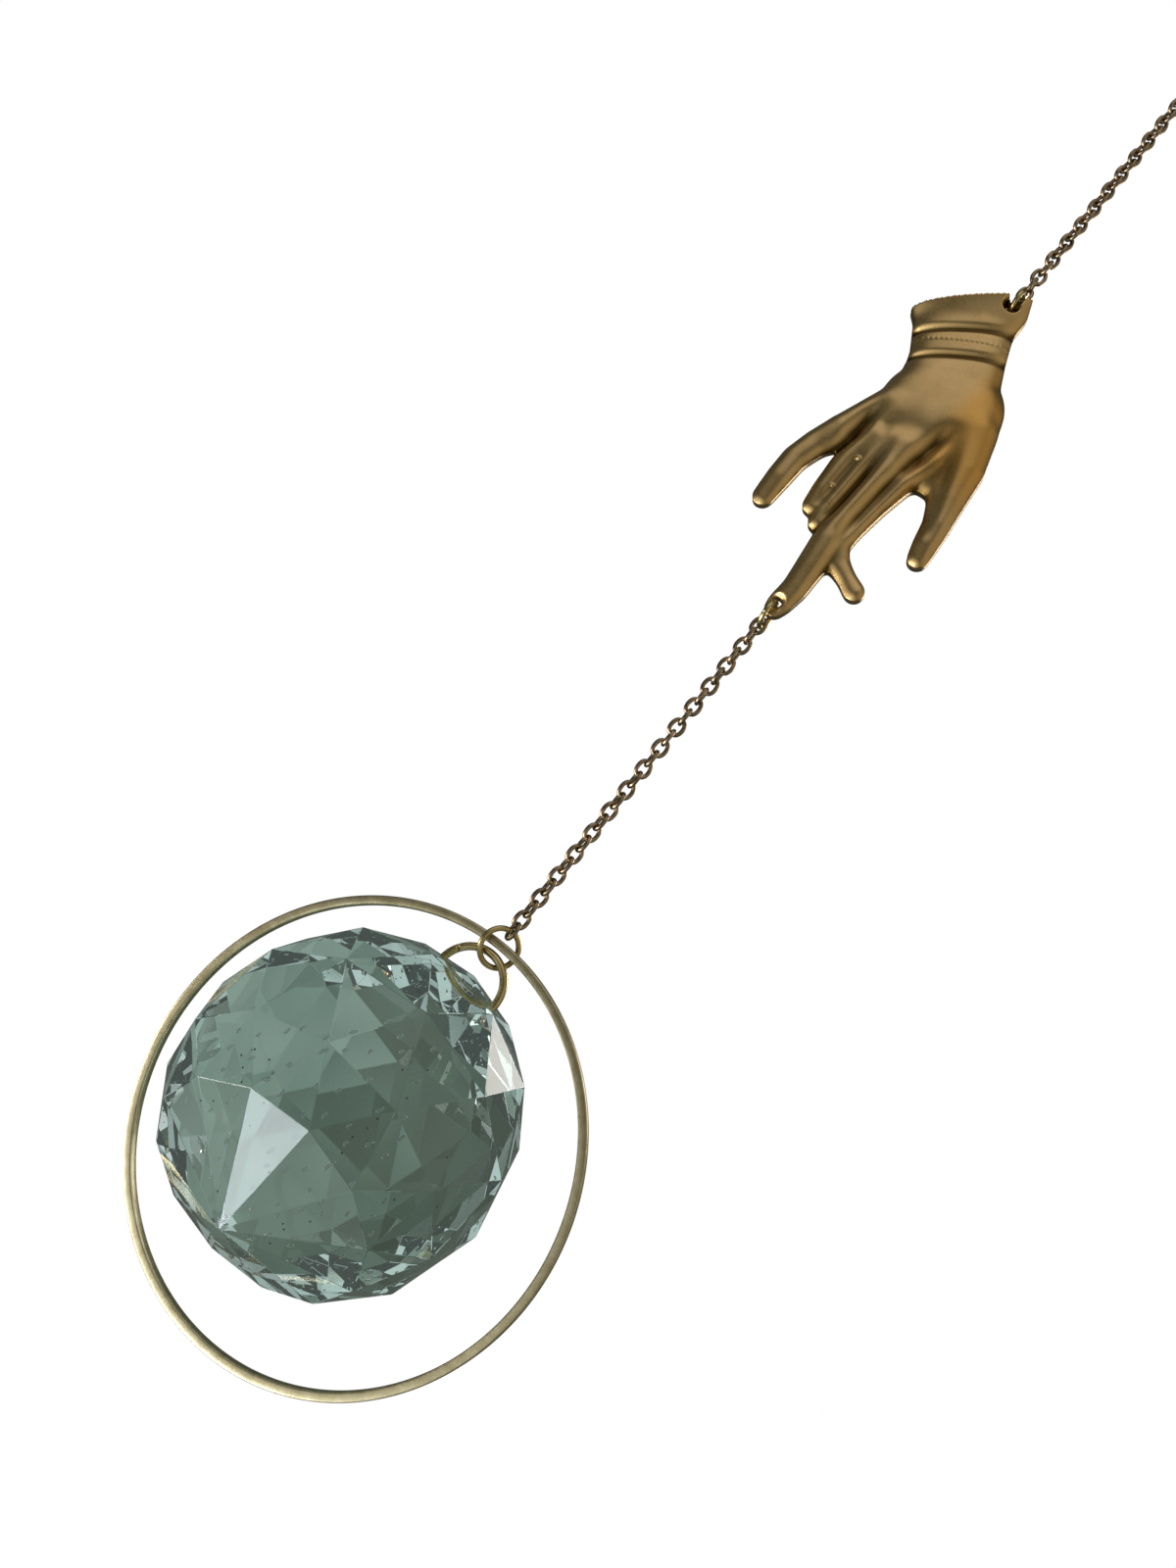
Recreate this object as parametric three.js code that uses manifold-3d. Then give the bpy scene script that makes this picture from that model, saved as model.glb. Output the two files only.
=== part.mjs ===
// Crystal suncatcher: a faceted glass ball in a brass hoop, hung on a fine chain from the fingertip
// of a stamped brass hand, with a second chain and a hanging ring above the hand.
// Millimetres, +Z up. The origin is where the hanging ring bears on its hook; -Y is the front.
import * as THREE from 'three';
import { ConvexGeometry } from 'three/addons/geometries/ConvexGeometry.js';
import { mergeVertices } from 'three/addons/utils/BufferGeometryUtils.js';
import Module from 'manifold-3d';

const wasm = await Module();
wasm.setup();

const DEG = Math.PI / 180;
const MERGE_STEP = 1e-4;

// Free play between neighbouring rings, wires and holes.
const PLAY = 0.3;

// Rings, each given by the radius of its wire's centre line and by the wire's own radius.
const HANGING_RING = { radius: 4.0, wire: 0.35, around: 28, across: 6 };
const JUMP_RING = { radius: 1.75, wire: 0.35, around: 16, across: 6 };
const CHAIN_RING = { radius: 2.4, wire: 0.35, around: 20, across: 6 };
const BALL_RING = { radius: 4.3, wire: 0.5, around: 28, across: 6 };
const CHAIN_RING_TURN = 40 * DEG;

// Oval links of the two chains.
const LINK_WIRE = 0.28;
const LINK_WIDTH = 2.15;
const LINK_CONTACT = 0.1;
const LINK_STEPS = 8;
const LINK_SIDES = 4;
const LINK_PITCH = 1.668;
const UPPER_LINKS = 27;
const LOWER_LINKS = 30;

// Twist of the chains, and the share of each chain's length over which it turns.
const UPPER_TURNS = [
  { turn: 45 * DEG, from: 0.0, over: 0.2 },
  { turn: 45 * DEG, from: 0.8, over: 0.2 },
];
const LOWER_TURN = { turn: -CHAIN_RING_TURN, from: 0.3, over: 0.65 };

// Hoop: a rounded square bar bent to a circle.
const HOOP_RADIUS = 27.5;
const HOOP_BAR = 1.1;
const HOOP_DEPTH = 1.3;
const HOOP_CORNER = 0.28;
const HOOP_STEPS = 48;
const HOOP_OFFSET = -0.1;
const HOOP_RISE = 0.85;

// Faceted ball, with its rows of corners given by their angle from one pole.
const BALL_RADIUS = 20.5;
const BALL_DROP = 24.7;
const BALL_LEAN_X = 2.0;
const BALL_LEAN_Y = 1.0;
const FACETS_AROUND = 12;
const FACET_ROWS = [43 * DEG, 63.5 * DEG, 90 * DEG, 116.5 * DEG, 137 * DEG];
const FACET_TILT = 45.8 * DEG;
const FACET_TURN = 13.9 * DEG;
const BORE_RADIUS = 0.9;
const BALL_RING_DROP = 1.1;

// Stamped hand, in its own plane: x across and z up from the hole in the fingertip.
// A flat seat for the ring runs from each hole to the edge.
// Each strand is a row of rounds with a centre, a half width and a height.
const HAND_BACK = 0.6;
const HAND_RIM = 0.8;
const HAND_WALL = 0.7;
const HAND_LIP = 0.8;
const HAND_BLEND = 0.22;
const HAND_ROUND = 2.4;
const HAND_GRID = 1.15;
const HAND_SKIRT = 1.5;
const HAND_AREA = { left: -15, low: -4, width: 29, height: 60 };
const OUTLINE_HALVINGS = 12;
const HOLE_RADIUS = 0.75;
const HOLE_SPACING = 51.6;
const HOLE_TAB = 1.2;
const HOLE_PAD = 0.95;
const HOLE_FADE = 0.8;
const HOLE_SEAT = 3.0;
const DRILL_LENGTH = 8;
const DRILL_SIDES = 12;
const STRANDS = {
  index: [
    [0.2, -0.7, 1.3, 1.3],
    [0.35, 0.4, 1.55, 1.7],
    [0.7, 3.0, 1.65, 2.1],
    [0.5, 6.5, 1.85, 2.4],
    [0.1, 10.5, 1.95, 2.7],
    [0.0, 15.0, 1.6, 2.8],
    [0.3, 20.0, 1.6, 2.9],
    [0.8, 26.5, 2.4, 3.1],
  ],
  ring_finger: [
    [-2.5, 12.1, 1.2, 1.7],
    [-2.7, 15.6, 1.5, 2.1],
    [-2.3, 20.0, 1.7, 2.4],
    [-0.9, 26.5, 2.3, 3.0],
  ],
  long_finger: [
    [-4.5, 13.7, 1.2, 1.6],
    [-4.6, 16.4, 1.45, 2.0],
    [-4.4, 20.5, 1.9, 2.3],
    [-3.6, 26.0, 2.4, 2.8],
  ],
  little_finger: [
    [-10.5, 11.5, 1.4, 1.5],
    [-10.5, 15.0, 1.65, 1.9],
    [-10.4, 18.5, 1.75, 2.0],
    [-9.4, 21.8, 1.9, 2.1],
    [-7.6, 25.2, 2.4, 2.5],
    [-3.7, 30.8, 3.9, 3.0],
  ],
  bent_finger: [
    [4.0, 27.0, 2.2, 2.6],
    [3.1, 22.0, 1.5, 2.5],
    [2.4, 18.0, 1.35, 2.3],
    [1.9, 14.0, 1.3, 2.1],
    [1.7, 11.0, 1.3, 1.9],
    [3.0, 8.8, 1.5, 1.6],
    [5.2, 7.6, 1.2, 1.5],
    [7.0, 6.6, 1.35, 1.5],
  ],
  thumb: [
    [10.75, 14.6, 1.35, 1.7],
    [10.4, 16.8, 1.6, 2.1],
    [10.0, 19.8, 1.8, 2.4],
    [9.0, 23.5, 2.4, 2.6],
    [8.0, 28.0, 3.0, 2.8],
    [5.7, 33.0, 3.9, 3.1],
  ],
  thumb_web: [
    [6.0, 25.2, 2.6, 1.8],
    [4.4, 30.0, 4.0, 2.8],
  ],
  palm: [
    [1.6, 29.0, 6.4, 3.0],
    [1.0, 34.0, 8.0, 3.4],
    [-0.05, 37.6, 6.45, 3.1],
    [-1.6, 42.0, 6.15, 2.8],
    [-3.5, 46.2, 6.5, 2.8],
    [-5.1, 50.3, 7.7, 3.0],
    [-6.4, 53.1, 8.1, 3.0],
  ],
};

// Creases pressed between the fingers, each fading into the palm at one end and thinning at the other.
const CREASE_FADE = 0.6;
const CREASE_TAIL = { from: 0.8, over: 0.4 };
const CREASES = [
  { from: [4.6, 33.0], to: [2.7, 24.2], depth: 1.0, width: 1.1 },
  { from: [3.2, 27.5], to: [1.2, 12.0], depth: 0.55, width: 0.7 },
  { from: [-5.0, 31.5], to: [-6.3, 23.5], depth: 1.0, width: 1.0 },
  { from: [-3.2, 27.0], to: [-3.6, 14.5], depth: 0.45, width: 0.6 },
  { from: [-1.0, 29.0], to: [-1.5, 13.5], depth: 0.55, width: 0.65 },
  { from: [4.6, 35.0], to: [9.3, 18.0], depth: 0.5, width: 0.9 },
];

// Cuff: its upper edge is a straight cut, and two grooves cross it.
const CUFF_CORNER = [1.0, 54.0];
const CUFF_SLOPE = 35.7 * DEG;
const CUFF_FLARE = 0.45;
const CUFF_BAND = 3.6;
const CUFF_GROOVES = [
  { at: 5.9, skew: 0.13, depth: 0.5, width: 0.55 },
  { at: 10.6, skew: 0.17, depth: 0.5, width: 0.55 },
];

// Materials.
const brass = (color, roughness) => new THREE.MeshStandardMaterial({ color, roughness, metalness: 1 });
const satinBrass = () => brass(0xa88a52, 0.35);
const chainBrass = () => brass(0x8f7650, 0.38);
const ringBrass = () => brass(0xb59a58, 0.3);
const crystal = () => new THREE.MeshStandardMaterial({
  color: 0x9fb8a8,
  roughness: 0.03,
  metalness: 0,
  transparent: true,
  opacity: 0.35,
});

// A closed geometry with shared corners and nothing but positions.
function welded(geometry) {
  const bare = geometry.index ? geometry.toNonIndexed() : geometry.clone();
  for (const name of Object.keys(bare.attributes)) {
    if (name !== 'position') bare.deleteAttribute(name);
  }
  const merged = mergeVertices(bare, MERGE_STEP);
  const index = [];
  const from = merged.index.array;
  for (let i = 0; i < from.length; i += 3) {
    const [a, b, c] = [from[i], from[i + 1], from[i + 2]];
    if (a !== b && b !== c && c !== a) index.push(a, b, c);
  }
  merged.setIndex(index);
  return merged;
}

function solidOf(geometry) {
  const clean = welded(geometry);
  return new wasm.Manifold(new wasm.Mesh({
    numProp: 3,
    vertProperties: new Float32Array(clean.attributes.position.array),
    triVerts: new Uint32Array(clean.index.array),
  }));
}

function geometryOf(solid) {
  const mesh = solid.getMesh();
  const geometry = new THREE.BufferGeometry();
  geometry.setAttribute('position', new THREE.BufferAttribute(new Float32Array(mesh.vertProperties), 3));
  geometry.setIndex(new THREE.BufferAttribute(new Uint32Array(mesh.triVerts), 1));
  return geometry;
}

function piece(name, geometry, material) {
  const mesh = new THREE.Mesh(geometry, material);
  mesh.name = name;
  return mesh;
}

// A round ring that stands upright in the XZ plane, turned about Z.
function ringGeometry(ring, turn = 0) {
  const geometry = new THREE.TorusGeometry(ring.radius, ring.wire, ring.across, ring.around);
  geometry.rotateX(Math.PI / 2);
  geometry.rotateZ(turn);
  return welded(geometry);
}

// --- Heights along the plumb line, from the hook downwards ---

const linkReach = LINK_PITCH / 2 + LINK_WIRE - LINK_CONTACT / 2;
const wireGap = PLAY + LINK_WIRE;
const hangingRingZ = HANGING_RING.wire - HANGING_RING.radius;
const upperTopZ = hangingRingZ - HANGING_RING.radius + HANGING_RING.wire + wireGap - linkReach;
const upperBottomZ = upperTopZ - (UPPER_LINKS - 1) * LINK_PITCH;
const cuffRingZ = upperBottomZ - linkReach + wireGap - (JUMP_RING.radius - JUMP_RING.wire);
const cuffHoleZ = cuffRingZ - JUMP_RING.radius;
const fingerHoleZ = cuffHoleZ - HOLE_SPACING;
const fingerRingZ = fingerHoleZ - JUMP_RING.radius;
const lowerTopZ = fingerRingZ - (JUMP_RING.radius - JUMP_RING.wire) + wireGap - linkReach;
const lowerBottomZ = lowerTopZ - (LOWER_LINKS - 1) * LINK_PITCH;
const chainRingZ = lowerBottomZ - linkReach + wireGap - (CHAIN_RING.radius - CHAIN_RING.wire);

// --- Chains: oval links fused where each bears on the next ---

class LinkCurve extends THREE.Curve {
  getPoint(t, target = new THREE.Vector3()) {
    const step = Math.PI / LINK_STEPS;
    const angle = t * 2 * Math.PI + step;
    const halfWidth = (LINK_WIDTH / 2 - LINK_WIRE) / Math.cos(step);
    const halfLength = linkReach / Math.cos(step);
    return target.set(halfWidth * Math.cos(angle), 0, halfLength * Math.sin(angle));
  }

  // Even steps of angle, not of length, so that each link's ends are flat.
  getUtoTmapping(u) {
    return u;
  }
}

function linkGeometry() {
  return new THREE.TubeGeometry(new LinkCurve(), LINK_STEPS, LINK_WIRE, LINK_SIDES, true);
}

function chainGeometry(count, bottomZ, turnOf) {
  let chain = null;
  for (let i = 0; i < count; i++) {
    const link = linkGeometry();
    link.rotateZ((i % 2) * (Math.PI / 2) + turnOf(i / (count - 1)));
    link.translate(0, 0, bottomZ + i * LINK_PITCH);
    const solid = solidOf(link);
    chain = chain ? chain.add(solid) : solid;
  }
  return geometryOf(chain);
}

const smooth = (t) => {
  const u = THREE.MathUtils.clamp(t, 0, 1);
  return u * u * (3 - 2 * u);
};

// The lower chain starts square to the chain ring and ends square to the ring in the fingertip.
const turned = (twist, t) => twist.turn * smooth((t - twist.from) / twist.over);
const lowerTurn = (t) => CHAIN_RING_TURN - Math.PI / 2 + turned(LOWER_TURN, t);
const upperTurn = (t) => turned(UPPER_TURNS[0], t) + turned(UPPER_TURNS[1], t);

// --- Stamped hand: rounds swept along each strand give both the outline and the relief ---

const cuffAcross = [Math.cos(CUFF_SLOPE), Math.sin(CUFF_SLOPE)];
const cuffDown = [Math.sin(CUFF_SLOPE), -Math.cos(CUFF_SLOPE)];

// Distance below the cuff's edge, and along that edge from its upper corner.
function cuffPosition(x, z) {
  const dx = x - CUFF_CORNER[0];
  const dz = z - CUFF_CORNER[1];
  return [dx * cuffDown[0] + dz * cuffDown[1], dx * cuffAcross[0] + dz * cuffAcross[1]];
}

// The share of the way from a to b that lies nearest to a point, and how far off it is.
function nearest(a, b, x, z) {
  const ux = b[0] - a[0];
  const uz = b[1] - a[1];
  const along = ((x - a[0]) * ux + (z - a[1]) * uz) / (ux * ux + uz * uz);
  const t = THREE.MathUtils.clamp(along, 0, 1);
  return [t, Math.hypot(x - a[0] - t * ux, z - a[1] - t * uz)];
}

// Depth inside one stretch of a strand, and the relief that it gives at a point.
function stretchAt(a, b, x, z) {
  const [t, distance] = nearest(a, b, x, z);
  const halfWidth = THREE.MathUtils.lerp(a[2], b[2], t);
  const height = THREE.MathUtils.lerp(a[3], b[3], t);
  const d = distance / halfWidth;
  const inside = halfWidth - distance;
  const relief = d < 1
    ? HAND_RIM + (height - HAND_RIM) * Math.sqrt(1 - d ** HAND_ROUND)
    : HAND_RIM + inside * HAND_SKIRT;
  return { inside, relief };
}

function handAt(x, z) {
  let inside = -Infinity;
  let sum = 0;
  for (const strand of Object.values(STRANDS)) {
    let relief = -Infinity;
    for (let i = 0; i + 1 < strand.length; i++) {
      const stretch = stretchAt(strand[i], strand[i + 1], x, z);
      inside = Math.max(inside, stretch.inside);
      relief = Math.max(relief, stretch.relief);
    }
    sum += Math.exp(relief / HAND_BLEND);
  }
  let relief = HAND_BLEND * Math.log(sum);
  for (const crease of CREASES) {
    const [t, distance] = nearest(crease.from, crease.to, x, z);
    const off = distance / crease.width;
    const share = smooth(t / CREASE_FADE) * (1 - smooth((t - CREASE_TAIL.from) / CREASE_TAIL.over));
    relief -= crease.depth * share * Math.exp(-off * off);
  }
  const [down, across] = cuffPosition(x, z);
  const edge = 1 - down / CUFF_BAND;
  if (edge > 0) relief += CUFF_FLARE * edge * edge;
  for (const groove of CUFF_GROOVES) {
    const off = (down - groove.at - groove.skew * across) / groove.width;
    relief -= groove.depth * Math.exp(-off * off);
  }
  relief = Math.max(relief, HAND_RIM);
  inside = Math.min(inside, down);
  let hollow = relief - HAND_WALL;
  hollow *= smooth((inside - HAND_LIP) / HAND_WALL);
  for (const [holeZ, seat] of [[0, -HOLE_SEAT], [HOLE_SPACING, HOLE_SEAT]]) {
    const alongSeat = THREE.MathUtils.clamp((z - holeZ) / seat, 0, 1) * seat;
    const distance = Math.hypot(x, z - holeZ - alongSeat);
    const pad = 1 - smooth((distance - HOLE_PAD) / HOLE_FADE);
    relief = THREE.MathUtils.lerp(relief, HOLE_TAB, pad);
    hollow *= 1 - pad;
  }
  return { inside, relief, hollow };
}

// A grid over the hand's plane, cut along the outline, gives the front, the back and the side wall.
function handGeometry() {
  const columns = Math.ceil(HAND_AREA.width / HAND_GRID);
  const rows = Math.ceil(HAND_AREA.height / HAND_GRID);
  const corner = (i, j) => {
    const x = HAND_AREA.left + i * HAND_GRID;
    const z = HAND_AREA.low + j * HAND_GRID;
    return { x, z, inside: handAt(x, z).inside };
  };
  const grid = [];
  for (let i = 0; i <= columns; i++) {
    grid.push([]);
    for (let j = 0; j <= rows; j++) grid[i].push(corner(i, j));
  }
  const crossing = (p, q) => {
    let low = p.inside > 0 ? p : q;
    let high = p.inside > 0 ? q : p;
    for (let step = 0; step < OUTLINE_HALVINGS; step++) {
      const x = (low.x + high.x) / 2;
      const z = (low.z + high.z) / 2;
      const middle = { x, z, inside: handAt(x, z).inside };
      if (middle.inside > 0) low = middle;
      else high = middle;
    }
    return { x: low.x, z: low.z, edge: true };
  };
  const triangles = [];
  const front = (p) => {
    const relief = p.edge ? Math.min(handAt(p.x, p.z).relief, HOLE_TAB) : handAt(p.x, p.z).relief;
    return [p.x, HAND_BACK - relief, p.z];
  };
  const back = (p) => [p.x, HAND_BACK - (p.edge ? 0 : handAt(p.x, p.z).hollow), p.z];
  for (let i = 0; i < columns; i++) {
    for (let j = 0; j < rows; j++) {
      const cell = [grid[i][j], grid[i + 1][j], grid[i + 1][j + 1], grid[i][j + 1]];
      const outline = [];
      for (let k = 0; k < 4; k++) {
        const p = cell[k];
        const q = cell[(k + 1) % 4];
        if (p.inside > 0) outline.push(p);
        if ((p.inside > 0) !== (q.inside > 0)) outline.push(crossing(p, q));
      }
      for (let k = 1; k + 1 < outline.length; k++) {
        const [a, b, c] = [outline[0], outline[k], outline[k + 1]];
        triangles.push(front(a), front(b), front(c), back(c), back(b), back(a));
      }
      for (let k = 0; k < outline.length; k++) {
        const p = outline[k];
        const q = outline[(k + 1) % outline.length];
        if (!p.edge || !q.edge) continue;
        triangles.push(front(q), front(p), back(p), front(q), back(p), back(q));
      }
    }
  }
  const geometry = new THREE.BufferGeometry();
  geometry.setAttribute('position', new THREE.Float32BufferAttribute(triangles.flat(), 3));
  let hand = solidOf(geometry);
  for (const holeZ of [0, HOLE_SPACING]) {
    const drill = new THREE.CylinderGeometry(HOLE_RADIUS, HOLE_RADIUS, DRILL_LENGTH, DRILL_SIDES);
    drill.translate(0, 0, holeZ);
    hand = hand.subtract(solidOf(drill));
  }
  return geometryOf(hand);
}

// --- Hoop ---

function hoopGeometry() {
  const middle = HOOP_RADIUS - HOOP_BAR / 2;
  const halfBar = HOOP_BAR / 2;
  const halfDepth = HOOP_DEPTH / 2;
  const corners = [
    [halfBar, halfDepth - HOOP_CORNER],
    [halfBar - HOOP_CORNER, halfDepth],
  ];
  const section = [];
  for (const [sx, sy] of [[1, 1], [-1, 1], [-1, -1], [1, -1]]) {
    const pair = sx * sy > 0 ? corners : [...corners].reverse();
    for (const [r, y] of pair) section.push(new THREE.Vector2(middle + sx * r, sy * y));
  }
  section.push(section[0].clone());
  return welded(new THREE.LatheGeometry(section, HOOP_STEPS));
}

// --- Faceted ball: two poles and five rows of corners, each row turned half a step from the last ---

function facetPoints() {
  const points = [new THREE.Vector3(0, 0, -BALL_RADIUS), new THREE.Vector3(0, 0, BALL_RADIUS)];
  FACET_ROWS.forEach((polar, row) => {
    for (let k = 0; k < FACETS_AROUND; k++) {
      const angle = ((k + (row % 2) / 2) / FACETS_AROUND) * 2 * Math.PI;
      const across = BALL_RADIUS * Math.sin(polar);
      const down = BALL_RADIUS * Math.cos(polar);
      points.push(new THREE.Vector3(across * Math.sin(angle), -across * Math.cos(angle), -down));
    }
  });
  return points;
}

function ballGeometry(ringAt) {
  const facets = new ConvexGeometry(facetPoints());
  facets.rotateX(-FACET_TILT);
  facets.rotateZ(FACET_TURN);
  const bore = ringGeometry({ ...BALL_RING, wire: BORE_RADIUS });
  bore.translate(ringAt.x, ringAt.y, ringAt.z);
  return geometryOf(solidOf(facets).subtract(solidOf(bore)));
}

// --- Assembly ---

const suncatcher = new THREE.Group();

const hangingRing = piece('hanging_ring', ringGeometry(HANGING_RING), ringBrass());
hangingRing.position.z = hangingRingZ;

const upperChain = piece('upper_chain', chainGeometry(UPPER_LINKS, upperBottomZ, upperTurn), chainBrass());

const cuffRing = piece('cuff_ring', ringGeometry(JUMP_RING, Math.PI / 2), ringBrass());
cuffRing.position.z = cuffRingZ;

const hand = piece('hand_charm', handGeometry(), satinBrass());
hand.position.z = fingerHoleZ;

const fingertipRing = piece('fingertip_ring', ringGeometry(JUMP_RING, Math.PI / 2), ringBrass());
fingertipRing.position.z = fingerRingZ;

const lowerChain = piece('lower_chain', chainGeometry(LOWER_LINKS, lowerBottomZ, lowerTurn), chainBrass());

// The chain ring holds the lower chain, the hoop and the ball's ring.
const pendant = new THREE.Group();
pendant.position.z = chainRingZ;

const chainRing = piece('chain_ring', ringGeometry(CHAIN_RING, CHAIN_RING_TURN), ringBrass());

const hoop = piece('hoop', hoopGeometry(), satinBrass());
hoop.position.set(HOOP_OFFSET, 0, HOOP_RISE - HOOP_RADIUS);

// The ball and its ring lean a little about the point where the ring hangs.
const drop = new THREE.Group();
drop.position.z = -BALL_RING_DROP;
drop.rotation.set(-Math.atan2(BALL_LEAN_Y, BALL_DROP), Math.atan2(BALL_LEAN_X, BALL_DROP), 0);

const ballRing = piece('ball_ring', ringGeometry(BALL_RING), ringBrass());
ballRing.position.z = -BALL_RING.radius;

const ballBelow = Math.hypot(BALL_DROP - BALL_RING_DROP, BALL_LEAN_X, BALL_LEAN_Y);
const ringAboveBall = new THREE.Vector3(0, 0, ballBelow - BALL_RING.radius);
const ball = piece('crystal_ball', ballGeometry(ringAboveBall), crystal());
ball.position.z = -ballBelow;

drop.add(ballRing, ball);
pendant.add(chainRing, hoop, drop);
suncatcher.add(hangingRing, upperChain, cuffRing, hand, fingertipRing, lowerChain, pendant);

export default suncatcher;
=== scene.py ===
import math
import random

import bmesh
import bpy
import numpy as np
from mathutils import Matrix, Vector


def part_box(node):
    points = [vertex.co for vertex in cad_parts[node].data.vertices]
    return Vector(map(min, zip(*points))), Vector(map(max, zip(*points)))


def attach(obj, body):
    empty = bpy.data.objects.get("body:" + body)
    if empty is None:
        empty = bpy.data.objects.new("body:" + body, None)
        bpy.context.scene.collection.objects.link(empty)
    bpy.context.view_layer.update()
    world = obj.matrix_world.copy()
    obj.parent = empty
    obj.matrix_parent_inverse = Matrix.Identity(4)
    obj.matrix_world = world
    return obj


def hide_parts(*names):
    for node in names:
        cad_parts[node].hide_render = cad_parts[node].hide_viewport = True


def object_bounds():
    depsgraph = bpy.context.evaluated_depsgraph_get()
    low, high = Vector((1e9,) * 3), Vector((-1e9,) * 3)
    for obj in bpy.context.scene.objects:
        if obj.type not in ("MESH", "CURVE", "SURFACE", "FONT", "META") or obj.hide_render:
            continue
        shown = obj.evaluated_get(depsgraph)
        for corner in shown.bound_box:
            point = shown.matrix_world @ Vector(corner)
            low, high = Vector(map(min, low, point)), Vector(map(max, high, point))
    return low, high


MM = 0.001
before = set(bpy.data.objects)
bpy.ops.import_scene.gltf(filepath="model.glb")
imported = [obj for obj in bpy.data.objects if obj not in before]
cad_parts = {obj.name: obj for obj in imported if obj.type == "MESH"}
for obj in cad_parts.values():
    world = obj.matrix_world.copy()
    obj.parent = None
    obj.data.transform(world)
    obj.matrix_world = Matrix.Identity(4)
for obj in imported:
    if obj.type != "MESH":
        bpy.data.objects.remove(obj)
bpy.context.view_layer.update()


def centre(node):
    low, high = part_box(node)
    return (Vector(low) + Vector(high)) / 2


def mm(v):
    return Vector(v) / MM


# ---------------------------------------------------------------- camera

CHAIN_RING = centre("chain_ring")
LENS, SENSOR = 25.99, 36.0
NEAR_CLIP = 5 * MM
cam_data = bpy.data.cameras.new("camera")
cam_data.lens = LENS
cam_data.sensor_width = SENSOR
cam_data.clip_start = NEAR_CLIP
cam = bpy.data.objects.new("camera", cam_data)
bpy.context.scene.collection.objects.link(cam)
CAM_RIGHT = Vector((0.76614, 0.15835, 0.62287))
CAM_UP = Vector((-0.55808, -0.31672, 0.76697))
CAM_BACK = Vector((0.31872, -0.93521, -0.15428))
# Metres.
CAM_FROM_RING = Vector((0.039688, -0.129099, 0.000764))
cam_axes = Matrix((CAM_RIGHT, CAM_UP, CAM_BACK)).transposed().to_4x4()
cam.matrix_world = Matrix.Translation(CHAIN_RING + CAM_FROM_RING) @ cam_axes
bpy.context.scene.camera = cam

# ---------------------------------------------------------------- mesh helpers


def make(name, verts, faces, smooth=True):
    mesh = bpy.data.meshes.new(name)
    mesh.from_pydata([tuple(v) for v in verts], [], [tuple(int(i) for i in f) for f in faces])
    mesh.validate()
    mesh.update()
    obj = bpy.data.objects.new(name, mesh)
    bpy.context.scene.collection.objects.link(obj)
    mesh.polygons.foreach_set("use_smooth", [smooth] * len(mesh.polygons))
    return obj


def finish_piece(obj, node, material):
    obj.data.materials.clear()
    obj.data.materials.append(material)
    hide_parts(node)
    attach(obj, "root")


def sweep(path, normals, section, closed):
    """Faces of a section carried along a path. section is (u, v) pairs on each step's two normals."""
    verts, faces = [], []
    n, m = len(path), len(section)
    for p, (nu, nv) in zip(path, normals):
        verts += [p + nu * u + nv * v for u, v in section]
    for i in range(n if closed else n - 1):
        a, b = i * m, ((i + 1) % n) * m
        faces += [(a + k, b + k, b + (k + 1) % m, a + (k + 1) % m) for k in range(m)]
    if not closed:
        faces.append(tuple(range(m)))
        faces.append(tuple(reversed(range((n - 1) * m, n * m))))
    return verts, faces


def round_section(radius, count):
    angles = [2 * math.pi * k / count for k in range(count)]
    return [(radius * math.cos(a), radius * math.sin(a)) for a in angles]


def place(verts, matrix):
    return [matrix @ Vector(v) * MM for v in verts]


# ---------------------------------------------------------------- materials


class Nodes:
    """Short forms for building a node tree."""

    def __init__(self, tree):
        self.tree = tree
        tree.nodes.clear()

    def add(self, kind, **values):
        node = self.tree.nodes.new(kind)
        for key, value in values.items():
            if hasattr(node, key) and key not in node.inputs:
                setattr(node, key, value)
            else:
                node.inputs[key].default_value = value
        return node

    def link(self, a, out, b, into):
        self.tree.links.new(a.outputs[out], b.inputs[into])


def new_material(name):
    mat = bpy.data.materials.new(name)
    mat.use_nodes = True
    return mat, Nodes(mat.node_tree)


def ramp(n, stops):
    node = n.add("ShaderNodeValToRGB")
    elements = node.color_ramp.elements
    while len(elements) > 1:
        elements.remove(elements[-1])
    for i, (at, colour) in enumerate(stops):
        e = elements[0] if i == 0 else elements.new(at)
        e.position = at
        e.color = (*colour, 1.0)
    return node


def noise(n, source, scale, detail=4.0, roughness=0.55, distortion=0.0):
    node = n.add("ShaderNodeTexNoise", Scale=scale, Detail=detail, Roughness=roughness, Distortion=distortion)
    n.link(source[0], source[1], node, "Vector")
    return node


def remap(n, source, low, high, to_low, to_high, kind="LINEAR"):
    node = n.add("ShaderNodeMapRange", interpolation_type=kind)
    node.inputs["From Min"].default_value = low
    node.inputs["From Max"].default_value = high
    node.inputs["To Min"].default_value = to_low
    node.inputs["To Max"].default_value = to_high
    n.link(source[0], source[1], node, "Value")
    return node


def tinted(n, under, attribute, colour):
    """Mixes a colour over another where a painted attribute of the mesh says so."""
    attr = n.add("ShaderNodeAttribute", attribute_name=attribute)
    mix = n.add("ShaderNodeMix", data_type="RGBA")
    mix.inputs[7].default_value = (*colour, 1.0)
    n.link(attr, "Fac", mix, "Factor")
    n.tree.links.new(under, mix.inputs[6])
    return mix.outputs[2]


TONE_STOPS = (0.3, 0.5, 0.7)
BRASS_RELIEF, GLASS_RELIEF = 0.03 * MM, 0.05 * MM


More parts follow.
